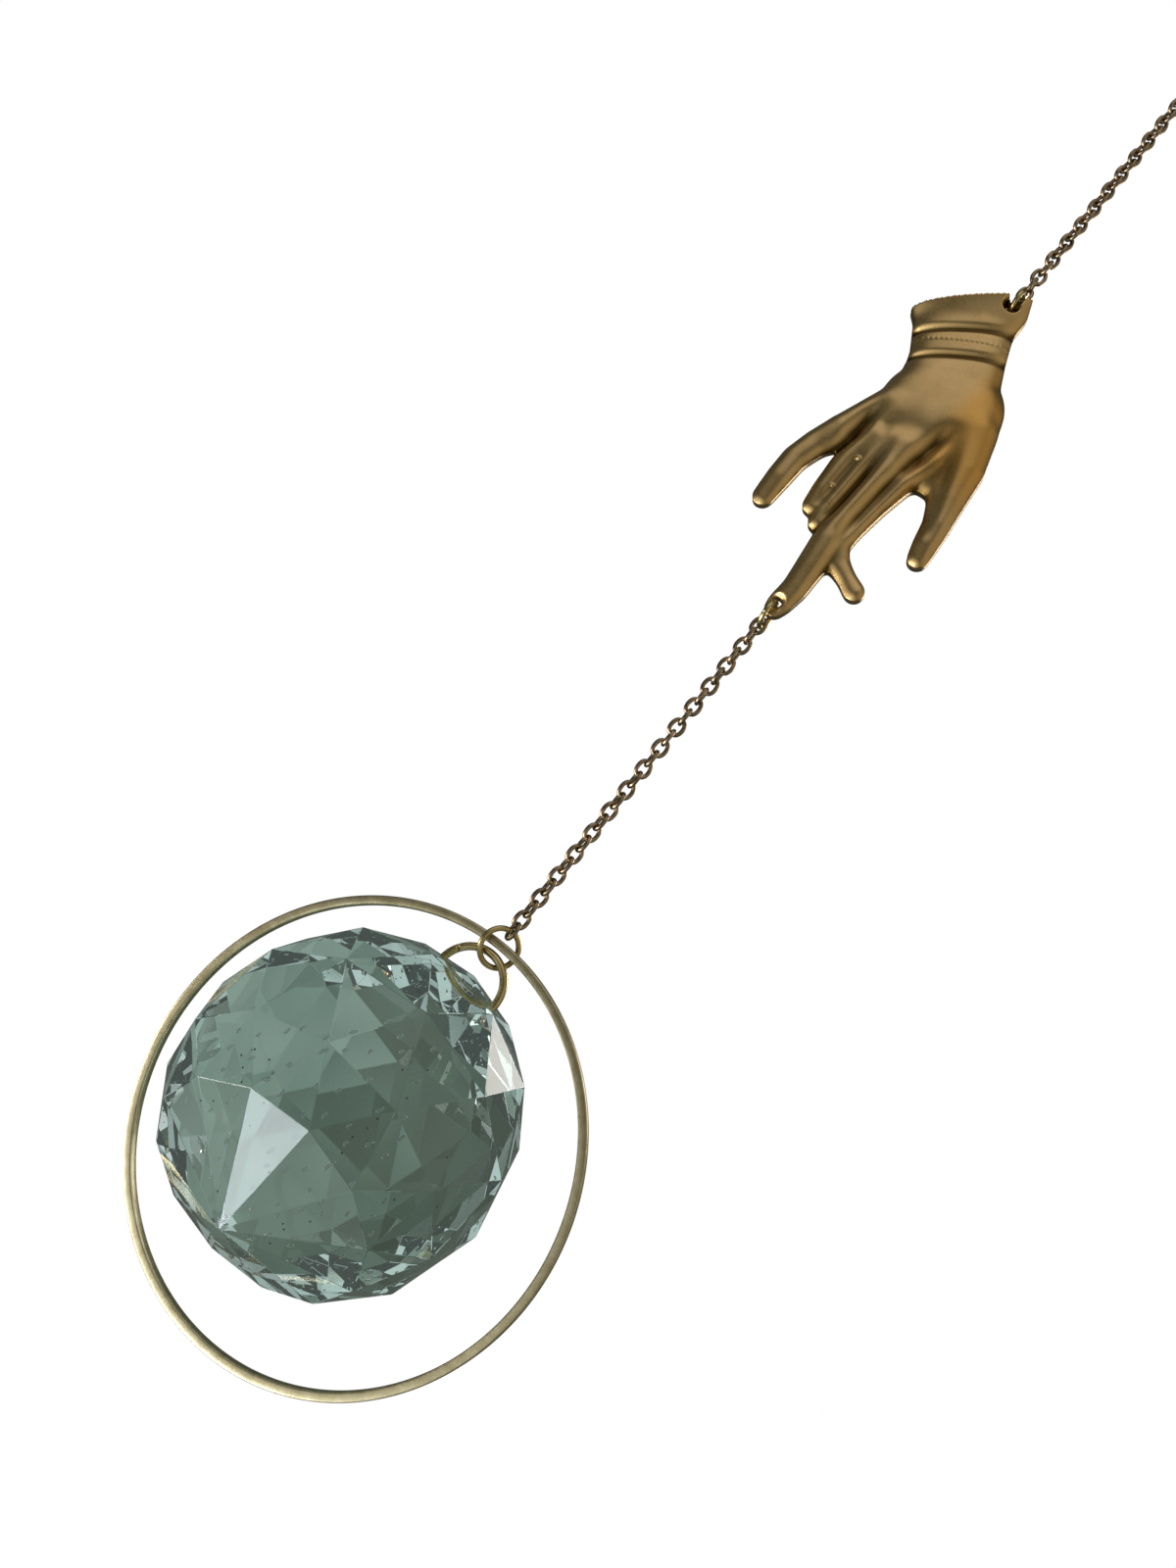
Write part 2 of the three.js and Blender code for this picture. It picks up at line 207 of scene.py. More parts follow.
def brass_material(name, tones, rough, blotch, grain, bump, tints=()):
    """Aged brass: blotchy tone, and a satin grain in the roughness and the bump."""
    mat, n = new_material(name)
    out = n.add("ShaderNodeOutputMaterial")
    bsdf = n.add("ShaderNodeBsdfPrincipled", Metallic=1.0)
    n.link(bsdf, "BSDF", out, "Surface")
    tex = n.add("ShaderNodeTexCoord")
    big = noise(n, (tex, "Object"), blotch, 5.0, 0.6, 0.4)
    tone = ramp(n, list(zip(TONE_STOPS, tones)))
    n.link(big, "Fac", tone, "Fac")
    colour = tone.outputs["Color"]
    for attribute, tint in tints:
        colour = tinted(n, colour, attribute, tint)
    n.tree.links.new(colour, bsdf.inputs["Base Color"])
    fine = noise(n, (tex, "Object"), grain, 6.0, 0.65)
    roughness = remap(n, (fine, "Fac"), 0.3, 0.7, *rough)
    n.link(roughness, "Result", bsdf, "Roughness")
    relief = n.add("ShaderNodeBump", Strength=bump, Distance=BRASS_RELIEF)
    n.link(fine, "Fac", relief, "Height")
    n.link(relief, "Normal", bsdf, "Normal")
    return mat


satin_brass = brass_material(
    "satin_brass", [(0.50, 0.33, 0.145), (0.56, 0.375, 0.165), (0.61, 0.415, 0.19)],
    rough=(0.25, 0.36), blotch=300.0, grain=4200.0, bump=0.25,
    tints=(("warm", (0.60, 0.32, 0.08)), ("cavity", (0.10, 0.058, 0.012))),
)
hoop_brass = brass_material(
    "hoop_brass", [(0.40, 0.34, 0.20), (0.50, 0.43, 0.27), (0.60, 0.53, 0.35)],
    rough=(0.28, 0.40), blotch=620.0, grain=5200.0, bump=0.2,
)
ring_brass = brass_material(
    "ring_brass", [(0.34, 0.25, 0.10), (0.48, 0.37, 0.17), (0.58, 0.47, 0.25)],
    rough=(0.20, 0.30), blotch=500.0, grain=5200.0, bump=0.12,
)
chain_brass = brass_material(
    "chain_brass", [(0.20, 0.155, 0.095), (0.30, 0.225, 0.145), (0.50, 0.34, 0.23)],
    rough=(0.20, 0.32), blotch=900.0, grain=5200.0, bump=0.15,
)

# A lower index than real crystal and a faint glow keep light that is lost inside the facets from
# turning black.
GLASS_IOR = 1.42
GLASS_GLOW, GLASS_GLOW_TONE = 0.014, (0.62, 0.80, 0.74)


def crystal_material():
    """Clear glass with a faint green tone and a very slight unevenness in its polish."""
    mat, n = new_material("crystal")
    out = n.add("ShaderNodeOutputMaterial")
    bsdf = n.add("ShaderNodeBsdfPrincipled", Roughness=0.0, IOR=GLASS_IOR)
    bsdf.inputs["Transmission Weight"].default_value = 1.0
    bsdf.inputs["Emission Color"].default_value = (*GLASS_GLOW_TONE, 1.0)
    bsdf.inputs["Emission Strength"].default_value = GLASS_GLOW
    n.link(bsdf, "BSDF", out, "Surface")
    tex = n.add("ShaderNodeTexCoord")
    streaks = noise(n, (tex, "Object"), 70.0, 3.0)
    tone = ramp(n, [(0.35, (0.91, 0.965, 0.935)), (0.65, (0.95, 0.985, 0.965))])
    n.link(streaks, "Fac", tone, "Fac")
    n.link(tone, "Color", bsdf, "Base Color")
    wave = noise(n, (tex, "Object"), 120.0, 2.0)
    relief = n.add("ShaderNodeBump", Strength=0.06, Distance=GLASS_RELIEF)
    n.link(wave, "Fac", relief, "Height")
    n.link(relief, "Normal", bsdf, "Normal")
    return mat


crystal = crystal_material()

# ---------------------------------------------------------------- rings


SAW_CUT_HALF = 0.05
# How far the two cut ends stand apart sideways, as a share of the wire's radius.
CUT_ENDS_APART = 0.10


def ring_piece(node, radius, wire, turn, cut_at, centre_at, tilt=None, around=96, across=16):
    """A jump ring: round wire with a fine saw cut."""
    half_cut = SAW_CUT_HALF / radius
    path, normals = [], []
    for k in range(around + 1):
        a = cut_at + half_cut + (2 * math.pi - 2 * half_cut) * k / around
        r = Vector((math.cos(a), 0, math.sin(a)))
        side = Vector((0, CUT_ENDS_APART * wire * (k / around - 0.5), 0))
        path.append(r * radius + side)
        normals.append((r, Vector((0, 1, 0))))
    verts, faces = sweep(path, normals, round_section(wire, across), False)
    matrix = Matrix.Translation(centre_at) @ (tilt or Matrix.Identity(4)) @ Matrix.Rotation(turn, 4, "Z")
    obj = make(node + "_wire", place(verts, matrix), faces)
    for poly in obj.data.polygons:
        if len(poly.vertices) > 4:
            poly.use_smooth = False
    finish_piece(obj, node, ring_brass)


HANGING_RING_RADIUS, JUMP_RING_RADIUS, CHAIN_RING_RADIUS = 4.0, 1.75, 2.4
RING_WIRE, BALL_RING_WIRE = 0.35, 0.5
CHAIN_RING_TURN = math.radians(40)
for ring, radius, turn, cut_at in (
    ("hanging_ring", HANGING_RING_RADIUS, 0.0, 70),
    ("cuff_ring", JUMP_RING_RADIUS, math.pi / 2, 20),
    ("fingertip_ring", JUMP_RING_RADIUS, math.pi / 2, 200),
    ("chain_ring", CHAIN_RING_RADIUS, CHAIN_RING_TURN, 100),
):
    ring_piece(ring, radius, RING_WIRE, turn, math.radians(cut_at), mm(centre(ring)))

# The ball and its ring lean a little about the point where the ring hangs, which is RING_DROP below
# the chain ring's centre.
BALL_DROP, LEAN_X, LEAN_Y = 24.7, 2.0, 1.0
RING_DROP, BALL_RING_RADIUS = 1.1, 4.3
lean_back = Matrix.Rotation(-math.atan2(LEAN_Y, BALL_DROP), 4, "X")
lean_aside = Matrix.Rotation(math.atan2(LEAN_X, BALL_DROP), 4, "Y")
lean = lean_back @ lean_aside
drop_at = mm(CHAIN_RING) - Vector((0, 0, RING_DROP))
below = math.sqrt((BALL_DROP - RING_DROP) ** 2 + LEAN_X**2 + LEAN_Y**2)
ball_ring_at = drop_at + lean @ Vector((0, 0, -BALL_RING_RADIUS))
ball_at = drop_at + lean @ Vector((0, 0, -below))
ring_piece("ball_ring", BALL_RING_RADIUS, BALL_RING_WIRE, 0.0, math.radians(150), ball_ring_at, tilt=lean)

# ---------------------------------------------------------------- chains

LINK_PITCH, LINK_WIRE, LINK_WIDTH = 1.668, 0.28, 2.15
LINK_REACH = LINK_PITCH / 2 + LINK_WIRE - 0.05
# Powers that square a link's ellipse a little, and its small alternating lean in the row.
LINK_SQUARE_X, LINK_SQUARE_Z = 0.86, 0.92
LINK_SWAY, LINK_SWAY_STEP = math.radians(2.0), 2.4


def smooth_step(t):
    u = min(max(t, 0.0), 1.0)
    return u * u * (3 - 2 * u)


def link_mesh(turn, z, lean_turn):
    """One oval link of round wire, a little squarer than an ellipse."""
    path, normals = [], []
    steps = 28
    half = LINK_WIDTH / 2 - LINK_WIRE
    for k in range(steps):
        a = 2 * math.pi * k / steps
        c, s = math.cos(a), math.sin(a)
        x = half * math.copysign(abs(c) ** LINK_SQUARE_X, c)
        y = LINK_REACH * math.copysign(abs(s) ** LINK_SQUARE_Z, s)
        path.append(Vector((x, 0, y)))
    for k in range(steps):
        t = (path[(k + 1) % steps] - path[k - 1]).normalized()
        side = Vector((0, 1, 0))
        normals.append((side.cross(t), side))
    verts, faces = sweep(path, normals, round_section(LINK_WIRE, 10), True)
    turned = Matrix.Translation((0, 0, z)) @ Matrix.Rotation(turn, 4, "Z")
    matrix = turned @ Matrix.Rotation(lean_turn, 4, "Y")
    return [matrix @ v for v in verts], faces


def chain_piece(node, count, turn_of):
    low, high = (mm(v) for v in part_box(node))
    start = (low.z + high.z) / 2 - (count - 1) * LINK_PITCH / 2
    verts, faces = [], []
    for i in range(count):
        turn = (i % 2) * math.pi / 2 + turn_of(i / (count - 1))
        v, f = link_mesh(turn, start + i * LINK_PITCH, LINK_SWAY * math.sin(LINK_SWAY_STEP * i))
        base = len(verts)
        verts += v
        faces += [tuple(base + q for q in face) for face in f]
    obj = make(node + "_links", [v * MM for v in verts], faces)
    finish_piece(obj, node, chain_brass)


chain_piece(
    "lower_chain", 30,
    lambda t: math.radians(-50) + math.radians(-40) * smooth_step((t - 0.3) / 0.65),
)
chain_piece(
    "upper_chain", 27,
    lambda t: math.radians(45) * (smooth_step(t / 0.2) + smooth_step((t - 0.8) / 0.2)),
)

# ---------------------------------------------------------------- hoop

HOOP_RADIUS, HOOP_BAR, HOOP_DEPTH, HOOP_EDGE = 27.5, 1.1, 1.3, 0.24


def hoop_piece():
    section = []
    hb, hd = HOOP_BAR / 2 - HOOP_EDGE, HOOP_DEPTH / 2 - HOOP_EDGE
    for quarter, (sx, sy) in enumerate([(1, 1), (-1, 1), (-1, -1), (1, -1)]):
        for k in range(5):
            a = math.radians(quarter * 90 + 22.5 * k)
            section.append((sx * hb + HOOP_EDGE * math.cos(a), sy * hd + HOOP_EDGE * math.sin(a)))
    path, normals = [], []
    steps = 288
    for k in range(steps):
        a = 2 * math.pi * k / steps
        r = Vector((math.cos(a), 0, math.sin(a)))
        path.append(r * (HOOP_RADIUS - HOOP_BAR / 2))
        normals.append((r, Vector((0, 1, 0))))
    verts, faces = sweep(path, normals, section, True)
    obj = make("hoop_bar", place(verts, Matrix.Translation(mm(centre("hoop")))), faces)
    finish_piece(obj, "hoop", hoop_brass)


hoop_piece()

# ---------------------------------------------------------------- ball

BALL_RADIUS = 20.5
ROWS = [43.0, 63.5, 90.0, 116.5, 137.0]
AROUND = 12
FACET_TURN, FACET_TILT = math.radians(13.9), math.radians(-45.8)
EDGE_BEVEL = 0.05 * MM
BORE_RADIUS = 0.9


def facet_mesh():
    verts = [Vector((0, 0, -BALL_RADIUS))]
    for row, polar in enumerate(ROWS):
        p = math.radians(polar)
        for k in range(AROUND):
            a = (k + (row % 2) / 2) / AROUND * 2 * math.pi
            out = Vector((math.sin(p) * math.sin(a), -math.sin(p) * math.cos(a), -math.cos(p)))
            verts.append(BALL_RADIUS * out)
    verts.append(Vector((0, 0, BALL_RADIUS)))

    def at(row, k):
        return 1 + row * AROUND + k % AROUND

    faces = []
    for k in range(AROUND):
        faces.append((0, at(0, k + 1), at(0, k)))
        for row in range(4):
            shift = row % 2
            faces.append((at(row, k), at(row, k + 1), at(row + 1, k + shift)))
            faces.append((at(row + 1, k + 1), at(row + 1, k), at(row, k + 1 - shift)))
        faces.append((len(verts) - 1, at(4, k), at(4, k + 1)))
    return verts, faces


def ball_piece():
    verts, faces = facet_mesh()
    turn = Matrix.Rotation(FACET_TURN, 4, "Z") @ Matrix.Rotation(FACET_TILT, 4, "X")
    matrix = Matrix.Translation(ball_at) @ lean @ turn
    obj = make("crystal_ball_cut", place(verts, matrix), faces, smooth=False)
    bm = bmesh.new()
    bm.from_mesh(obj.data)
    bmesh.ops.recalc_face_normals(bm, faces=bm.faces)
    bmesh.ops.bevel(
        bm, geom=list(bm.edges), offset=EDGE_BEVEL, segments=1, profile=0.5,
        affect="EDGES", clamp_overlap=True,
    )
    bm.to_mesh(obj.data)
    bm.free()
    # The drilled passage follows the ring through the glass.
    path, normals = [], []
    for k in range(72):
        a = 2 * math.pi * k / 72
        r = Vector((math.cos(a), 0, math.sin(a)))
        path.append(r * BALL_RING_RADIUS)
        normals.append((r, Vector((0, 1, 0))))
    bore_verts, bore_faces = sweep(path, normals, round_section(BORE_RADIUS, 20), True)
    bore = make("bore", place(bore_verts, Matrix.Translation(ball_ring_at) @ lean), bore_faces)
    cut = obj.modifiers.new("bore", "BOOLEAN")
    cut.operation = "DIFFERENCE"
    cut.object = bore
    cut.solver = "EXACT"
    deps = bpy.context.evaluated_depsgraph_get()
    mesh = bpy.data.meshes.new_from_object(obj.evaluated_get(deps))
    obj.modifiers.clear()
    obj.data = mesh
    bpy.data.objects.remove(bore)
    mesh.polygons.foreach_set("use_smooth", [False] * len(mesh.polygons))
    finish_piece(obj, "crystal_ball", crystal)


ball_piece()

# ---------------------------------------------------------------- bubbles and specks in the glass

BUBBLE_ROWS, BUBBLES_IN_ROW, SPECK_COUNT = 9, 11, 26
BUBBLE_HALF_LENGTH, BUBBLE_HALF_WIDTH, BUBBLE_BEND = (0.32, 0.6), 0.2, 0.22
SPECK_HALF_LENGTH, SPECK_HALF_WIDTH = 0.13, 0.11
BUBBLE_DEPTH, SPECK_DEPTH = (0.5, 1.6), (0.4, 2.5)
# Shares of the ball's radius within which they lie, and the share of bubbles left out.
BUBBLE_SPREAD, SPECK_SPREAD, BUBBLES_SKIPPED = 0.8, 0.75, 0.12
# Depths are counted from this share of the ball's radius. The long facets round the two poles
# have their middles further in.
FLAT_SHARE = 0.955


def inner_surface(across, up, depth):
    """A point under the facets that face the front. across and up are shares of the radius."""
    toward = math.sqrt(max(0.0, 1 - across**2 - up**2))
    out = (CAM_RIGHT * across + CAM_UP * up + CAM_BACK * toward).normalized()
    return ball_at + out * (BALL_RADIUS * FLAT_SHARE - depth)


def blob(at, axis, half_length, half_width, bend, around=6, rings=5):
    """A closed tapering sliver, slightly bent."""
    side = axis.orthogonal().normalized()
    other = axis.cross(side)
    verts, faces = [at - axis * half_length], []
    for r in range(1, rings + 1):
        t = -1 + 2 * r / (rings + 1)
        middle = at + axis * half_length * t + side * bend * (1 - t * t)
        width = half_width * math.sqrt(1 - t * t)
        for k in range(around):
            a = 2 * math.pi * k / around
            verts.append(middle + (side * math.cos(a) + other * math.sin(a)) * width)
    verts.append(at + axis * half_length)
    last = len(verts) - 1
    for k in range(around):
        n = (k + 1) % around
        faces.append((0, 1 + n, 1 + k))
        for r in range(rings - 1):
            a, b = 1 + r * around, 1 + (r + 1) * around
            faces.append((a + k, a + n, b + n, b + k))
        faces.append((last, last - around + k, last - around + n))
    return verts, faces


def inclusions(name, blobs, material):
    verts, faces = [], []
    for v, f in blobs:
        base = len(verts)
        verts += v
        faces += [tuple(base + q for q in face) for face in f]
    obj = make(name, [v * MM for v in verts], faces)
    obj.data.materials.append(material)
    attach(obj, "root")


def sealed_in_glass():
    chance = random.Random(11)
    bubbles, specks = [], []
    for row in range(BUBBLE_ROWS):
        for k in range(BUBBLES_IN_ROW):
            along = -0.72 + 1.35 * k / (BUBBLES_IN_ROW - 1) + chance.uniform(-0.05, 0.05)
            shift = -0.62 + 0.13 * row + chance.uniform(-0.03, 0.03)
            across, up = shift + 0.28 * along, along
            if math.hypot(across, up) > BUBBLE_SPREAD or chance.random() < BUBBLES_SKIPPED:
                continue
            axis = (CAM_RIGHT * 0.8 + CAM_UP * chance.uniform(0.2, 0.9)).normalized()
            size = chance.uniform(*BUBBLE_HALF_LENGTH)
            at = inner_surface(across, up, chance.uniform(*BUBBLE_DEPTH))
            bend = chance.uniform(-BUBBLE_BEND, BUBBLE_BEND)
            bubbles.append(blob(at, axis, size, BUBBLE_HALF_WIDTH, bend))
    for k in range(SPECK_COUNT):
        angle, reach = chance.uniform(0, 2 * math.pi), SPECK_SPREAD * math.sqrt(chance.random())
        depth = chance.uniform(*SPECK_DEPTH)
        at = inner_surface(reach * math.cos(angle), reach * math.sin(angle), depth)
        specks.append(blob(at, CAM_UP, SPECK_HALF_LENGTH, SPECK_HALF_WIDTH, 0.0))
    air, n = new_material("air_bubble")
    out = n.add("ShaderNodeOutputMaterial")
    bsdf = n.add("ShaderNodeBsdfPrincipled", Roughness=0.0, IOR=1 / GLASS_IOR)
    bsdf.inputs["Transmission Weight"].default_value = 1.0
    n.link(bsdf, "BSDF", out, "Surface")
    soot, n = new_material("dark_speck")
    out = n.add("ShaderNodeOutputMaterial")
    bsdf = n.add("ShaderNodeBsdfPrincipled", Roughness=0.7)
    tex = n.add("ShaderNodeTexCoord")
    grain = noise(n, (tex, "Object"), 9000.0)
    tone = ramp(n, [(0.3, (0.012, 0.014, 0.012)), (0.7, (0.05, 0.055, 0.045))])
    n.link(grain, "Fac", tone, "Fac")
    n.link(tone, "Color", bsdf, "Base Color")
    n.link(bsdf, "BSDF", out, "Surface")
    inclusions("crystal_bubbles", bubbles, air)
    inclusions("crystal_specks", specks, soot)


sealed_in_glass()

# ---------------------------------------------------------------- hand

HAND_BACK, HAND_RIM, HAND_WALL, HAND_LIP = 0.6, 0.8, 0.7, 0.8
HAND_BLEND, HAND_ROUND = 0.22, 2.4
HOLE_RADIUS, HOLE_SPACING, HOLE_TAB, HOLE_PAD, HOLE_FADE = 0.75, 51.6, 1.2, 0.55, 0.5
HOLE_SEAT = 3.0
# Each strand of the hand: its points across and up, half width there, and height.
STRANDS = {
    "index": [
        (0.2, -0.7, 1.3, 1.3), (0.35, 0.4, 1.55, 1.7), (0.7, 3.0, 1.65, 2.1),
        (0.5, 6.5, 1.85, 2.4), (0.1, 10.5, 1.95, 2.7), (0.0, 15.0, 1.6, 2.8),
        (0.3, 20.0, 1.6, 2.9), (0.8, 26.5, 2.4, 3.1),
    ],
    "ring_finger": [
        (-2.5, 12.1, 1.2, 1.7), (-2.7, 15.6, 1.5, 2.1), (-2.3, 20.0, 1.7, 2.4),
        (-0.9, 26.5, 2.3, 3.0),
    ],
    "long_finger": [
        (-4.5, 13.7, 1.2, 1.6), (-4.6, 16.4, 1.45, 2.0), (-4.4, 20.5, 1.9, 2.3),
        (-3.6, 26.0, 2.4, 2.8),
    ],
    "little_finger": [
        (-10.5, 11.5, 1.4, 1.5), (-10.5, 15.0, 1.65, 1.9), (-10.4, 18.5, 1.75, 2.0),
        (-9.4, 21.8, 1.9, 2.1), (-7.6, 25.2, 2.4, 2.5), (-3.7, 30.8, 3.9, 3.0),
    ],
    "bent_finger": [
        (4.0, 27.0, 2.2, 2.6), (3.1, 22.0, 1.5, 2.5), (2.4, 18.0, 1.35, 2.3),
        (1.9, 14.0, 1.3, 2.1), (1.7, 11.0, 1.3, 1.9), (3.0, 8.8, 1.5, 1.6),
        (5.2, 7.6, 1.2, 1.5), (7.0, 6.6, 1.35, 1.5),
    ],
    "thumb": [
        (10.75, 14.6, 1.35, 1.7), (10.4, 16.8, 1.6, 2.1), (10.0, 19.8, 1.8, 2.4),
        (9.0, 23.5, 2.4, 2.6), (8.0, 28.0, 3.0, 2.8), (5.7, 33.0, 3.9, 3.1),
    ],
    "thumb_web": [
        (6.0, 25.2, 2.6, 1.8), (4.4, 30.0, 4.0, 2.8),
    ],
    "palm": [
        (1.6, 29.0, 6.4, 3.0), (1.0, 34.0, 8.0, 3.4), (-0.05, 37.6, 6.45, 3.1),
        (-1.6, 42.0, 6.15, 2.8), (-3.5, 46.2, 6.5, 2.8), (-5.1, 50.3, 7.7, 3.0),
        (-6.4, 53.1, 8.1, 3.0),
    ],
}
# Creases between the fingers, each fading into the palm at one end and thinning at the other.
CREASE_FADE = 0.6
CREASE_TAIL = (0.8, 0.4)
CREASES = [
    ((4.6, 33.0), (2.7, 24.2), 1.0, 1.1),
    ((3.2, 27.5), (1.2, 12.0), 0.55, 0.7),
    ((-5.0, 31.5), (-6.3, 23.5), 1.0, 1.0),
    ((-3.2, 27.0), (-3.6, 14.5), 0.45, 0.6),
    ((-1.0, 29.0), (-1.5, 13.5), 0.55, 0.65),
    ((4.6, 35.0), (9.3, 18.0), 0.5, 0.9),
]
CUFF_CORNER, CUFF_SLOPE = (1.0, 54.0), math.radians(35.7)
CUFF_FLARE, CUFF_BAND = 0.45, 3.6
CUFF_GROOVES = [(5.9, 0.13, 0.5, 0.55), (10.6, 0.17, 0.5, 0.55)]
# A row of tiny beads on the cuff's second band, and two raised specks on the middle fingers.
BEAD_ROW = {"at": 8.4, "skew": 0.2, "width": 0.3, "pitch": 0.62, "height": 0.09}
SPECKS = [(-3.25, 22.0, 0.35, 0.28), (-3.75, 17.2, 0.3, 0.24)]
HAND_GRID = 0.16
SOFTEN_OUTLINE, SOFTEN_RELIEF = 0.45, 0.32
HAND_X, HAND_Z = (-15.0, 14.0), (-4.0, 56.0)
# Painted tones: dark in the hollows, and warmer down the thumb's side of the palm.
CAVITY_REACH, CAVITY_GAIN, BACK_CAVITY = 0.9, 3.4, 0.35
WARM_SHARE, WARM_EDGE, WARM_SLOPE, WARM_MIDDLE, WARM_FADE = 0.85, 1.5, 0.05, 30, 3.5
WARM_LOW, WARM_HIGH, WARM_END_FADE = 20, 49, 8


def np_smooth(t):
    u = np.clip(t, 0, 1)
    return u * u * (3 - 2 * u)


def cuff_position(x, z):
    dx, dz = x - CUFF_CORNER[0], z - CUFF_CORNER[1]
    down = dx * math.sin(CUFF_SLOPE) - dz * math.cos(CUFF_SLOPE)
    across = dx * math.cos(CUFF_SLOPE) + dz * math.sin(CUFF_SLOPE)
    return down, across


def nearest(a, b, x, z):
    """The share of the way from a to b that lies nearest to each point, and how far off it is."""
    ux, uz = b[0] - a[0], b[1] - a[1]
    t = np.clip(((x - a[0]) * ux + (z - a[1]) * uz) / (ux * ux + uz * uz), 0, 1)
    return t, np.hypot(x - a[0] - t * ux, z - a[1] - t * uz)


def strand_field(x, z):
    """Depth inside the strands' outline, and the height of the relief."""
    inside = np.full(x.shape, -1e9)
    total = np.zeros(x.shape)
    for strand in STRANDS.values():
        best = np.full(x.shape, -1e9)
        for a, b in zip(strand, strand[1:]):
            t, away = nearest(a, b, x, z)
            half = a[2] + (b[2] - a[2]) * t
            height = a[3] + (b[3] - a[3]) * t
            depth = half - away
            dome = np.sqrt(1 - np.clip(1 - depth / half, 0, 1) ** HAND_ROUND)
            relief = np.where(depth > 0, HAND_RIM + (height - HAND_RIM) * dome, HAND_RIM + depth * 1.5)
            inside = np.maximum(inside, depth)
            best = np.maximum(best, relief)
        total += np.exp(best / HAND_BLEND)
    relief = HAND_BLEND * np.log(total)
    for a, b, depth, width in CREASES:
        t, away = nearest(a, b, x, z)
        share = np_smooth(t / CREASE_FADE) * (1 - np_smooth((t - CREASE_TAIL[0]) / CREASE_TAIL[1]))
        relief -= depth * share * np.exp(-((away / width) ** 2))
    return inside, np.maximum(relief, HAND_RIM)


def soften(field, radius):
    """A Gaussian blur of a gridded field, radius in millimetres."""
    reach = int(3 * radius / HAND_GRID) + 1
    weights = np.exp(-0.5 * (np.arange(-reach, reach + 1) * HAND_GRID / radius) ** 2)
    weights /= weights.sum()
    for axis in (0, 1):
        pad = [(reach, reach) if k == axis else (0, 0) for k in (0, 1)]
        padded = np.pad(field, pad, mode="edge")
        size = field.shape[axis]
        field = sum(w * np.take(padded, range(k, k + size), axis) for k, w in enumerate(weights))
    return field


def hand_grid():
    xs = np.arange(*HAND_X, HAND_GRID)
    zs = np.arange(*HAND_Z, HAND_GRID)
    x, z = np.meshgrid(xs, zs, indexing="ij")
    inside, relief = strand_field(x, z)
    inside = soften(inside, SOFTEN_OUTLINE)
    relief = soften(relief, SOFTEN_RELIEF)
    down, across = cuff_position(x, z)
    relief += CUFF_FLARE * np.clip(1 - down / CUFF_BAND, 0, None) ** 2
    for at, skew, depth, width in CUFF_GROOVES:
        relief -= depth * np.exp(-(((down - at - skew * across) / width) ** 2))
    off = (down - BEAD_ROW["at"] - BEAD_ROW["skew"] * across) / BEAD_ROW["width"]
    wave = 0.5 + 0.5 * np.cos(2 * math.pi * across / BEAD_ROW["pitch"])
    relief += BEAD_ROW["height"] * np.clip(1 - off**2, 0, None) * wave
    for sx, sz, radius, height in SPECKS:
        relief += height * np.clip(1 - ((x - sx) ** 2 + (z - sz) ** 2) / radius**2, 0, None)
    relief = np.maximum(relief, HAND_RIM)
    inside = np.minimum(inside, down)
    hollow = np.maximum(relief - HAND_WALL, 0) * np_smooth((inside - HAND_LIP) / HAND_WALL)
    for hole, seat in ((0.0, -HOLE_SEAT), (HOLE_SPACING, HOLE_SEAT)):
        along = np.clip((z - hole) / seat, 0, 1) * seat
        pad = 1 - np_smooth((np.hypot(x, z - hole - along) - HOLE_PAD) / HOLE_FADE)
        tab = 1 - np_smooth((np.hypot(x, z - hole) - HOLE_RADIUS) / HOLE_FADE)
        flat = np.maximum(pad, tab)
        relief = relief + (HOLE_TAB - relief) * flat
        hollow = hollow * (1 - flat)
        inside = np.minimum(inside, np.hypot(x, z - hole) - HOLE_RADIUS)
    return xs, zs, inside, relief, hollow


